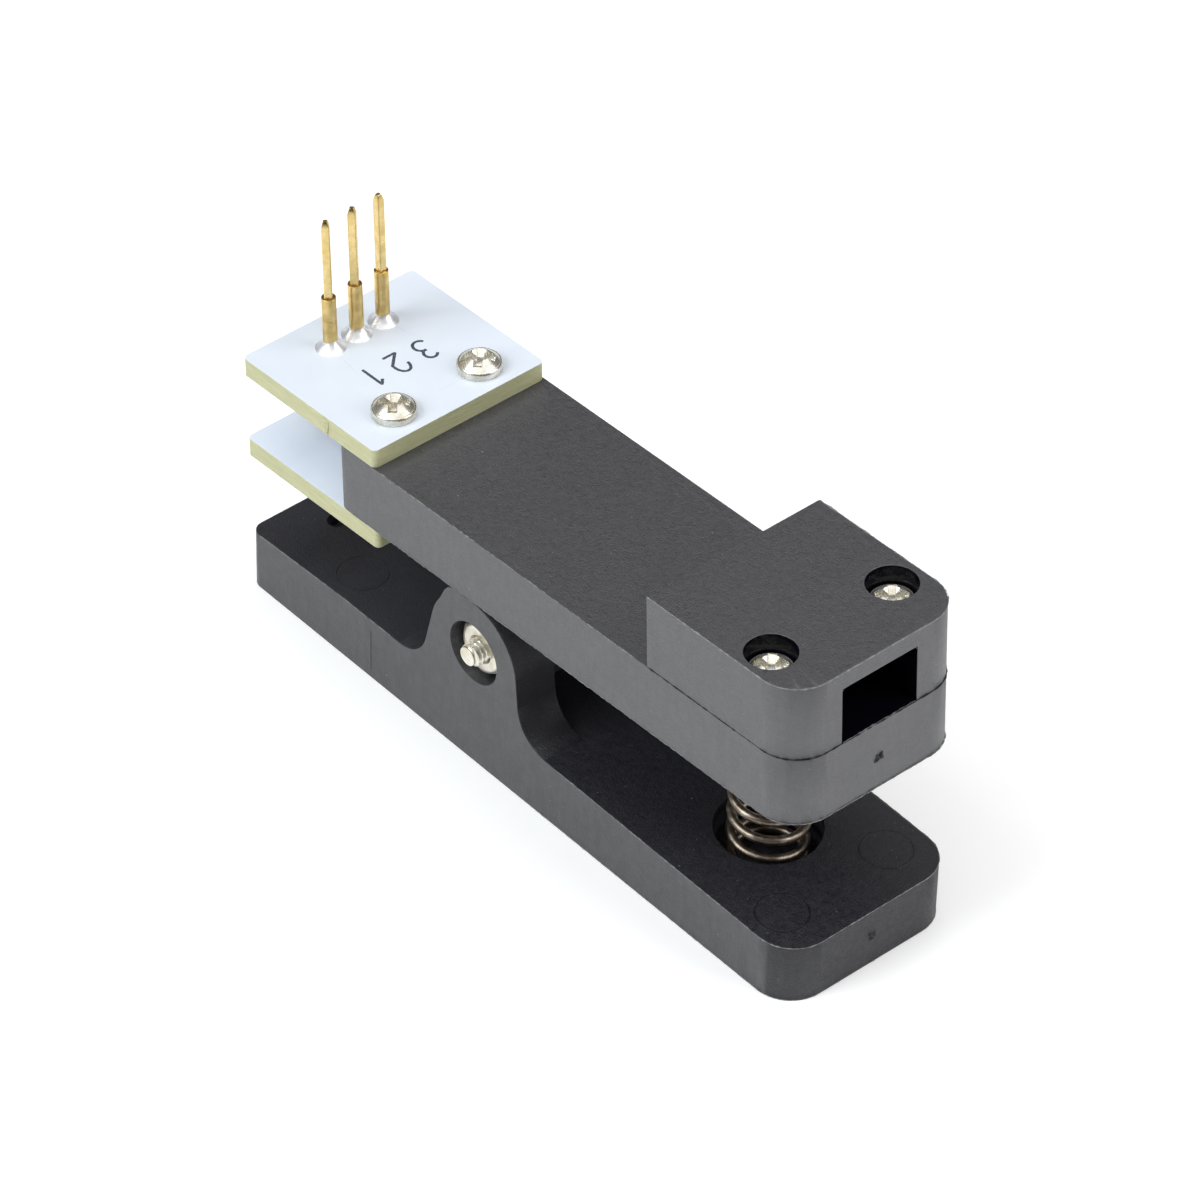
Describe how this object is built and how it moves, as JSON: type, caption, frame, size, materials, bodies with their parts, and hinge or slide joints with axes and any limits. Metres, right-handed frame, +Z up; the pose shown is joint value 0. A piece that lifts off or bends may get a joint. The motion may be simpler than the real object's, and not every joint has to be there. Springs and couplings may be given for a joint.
{
  "type": "pogo pin programming clip",
  "caption": "Spring-loaded plastic clip that presses a row of spring probes on to a circuit board's pads, with square posts on top for a plug-in lead.",
  "frame": {"origin": "on the lower arm's underside, in its middle plane, straight below the pivot axis", "axes": "+X along the clip to the handle end, +Z up, +Y to the side with the pivot screw's head"},
  "size_m": [0.0621, 0.017, 0.0336],
  "materials": {
    "arm_plastic": "moulded black plastic with a fine speckled texture",
    "board": "white solder mask over glass-epoxy board with yellow-green cut edges",
    "nickel_screw": "bright nickel plate",
    "spring_steel": "oil-tempered spring wire",
    "gold_plate": "gold-plated brass",
    "solder": "bright solder"
  },
  "bodies": {
    "lower": {"lower_arm": "arm_plastic", "pivot_screw": "nickel_screw", "pivot_nut": "nickel_screw", "main_spring": "spring_steel"},
    "upper": {"upper_arm": "arm_plastic", "cable_cover": "arm_plastic", "top_board": "board", "lower_board": "board", "board_screws_top": "nickel_screw", "board_screws_bottom": "nickel_screw", "cover_screws": "nickel_screw", "solder_joints": "solder", "receptacle_1": "gold_plate", "receptacle_2": "gold_plate", "receptacle_3": "gold_plate", "tail_post_1": "gold_plate", "tail_post_2": "gold_plate", "tail_post_3": "gold_plate", "probe_barrel_1": "gold_plate", "probe_barrel_2": "gold_plate", "probe_barrel_3": "gold_plate", "probe_spring_1": "spring_steel", "probe_spring_2": "spring_steel", "probe_spring_3": "spring_steel"},
    "plunger_1": {"probe_plunger_1": "gold_plate"},
    "plunger_2": {"probe_plunger_2": "gold_plate"},
    "plunger_3": {"probe_plunger_3": "gold_plate"}
  },
  "joints": [
    {"name": "arm_hinge", "type": "hinge", "parent": "lower", "child": "upper", "pos_m": [0, 0, 0.0106], "axis": [0, 1, 0], "range_deg": [0, 18.5], "stiffness_Nm_per_rad": 0.43, "springref_deg": -13.18, "deforming": ["main_spring"]},
    {"name": "plunger_1_slide", "type": "slide", "parent": "upper", "child": "plunger_1", "axis": [-0.0488, 0, 0.9988], "range_m": [0, 0.00265], "stiffness_N_per_m": 250, "springref_m": -0.0008, "deforming": ["probe_spring_1"]},
    {"name": "plunger_2_slide", "type": "slide", "parent": "upper", "child": "plunger_2", "axis": [-0.0488, 0, 0.9988], "range_m": [0, 0.00265], "stiffness_N_per_m": 250, "springref_m": -0.0008, "deforming": ["probe_spring_2"]},
    {"name": "plunger_3_slide", "type": "slide", "parent": "upper", "child": "plunger_3", "axis": [-0.0488, 0, 0.9988], "range_m": [0, 0.00265], "stiffness_N_per_m": 250, "springref_m": -0.0008, "deforming": ["probe_spring_3"]}
  ]
}
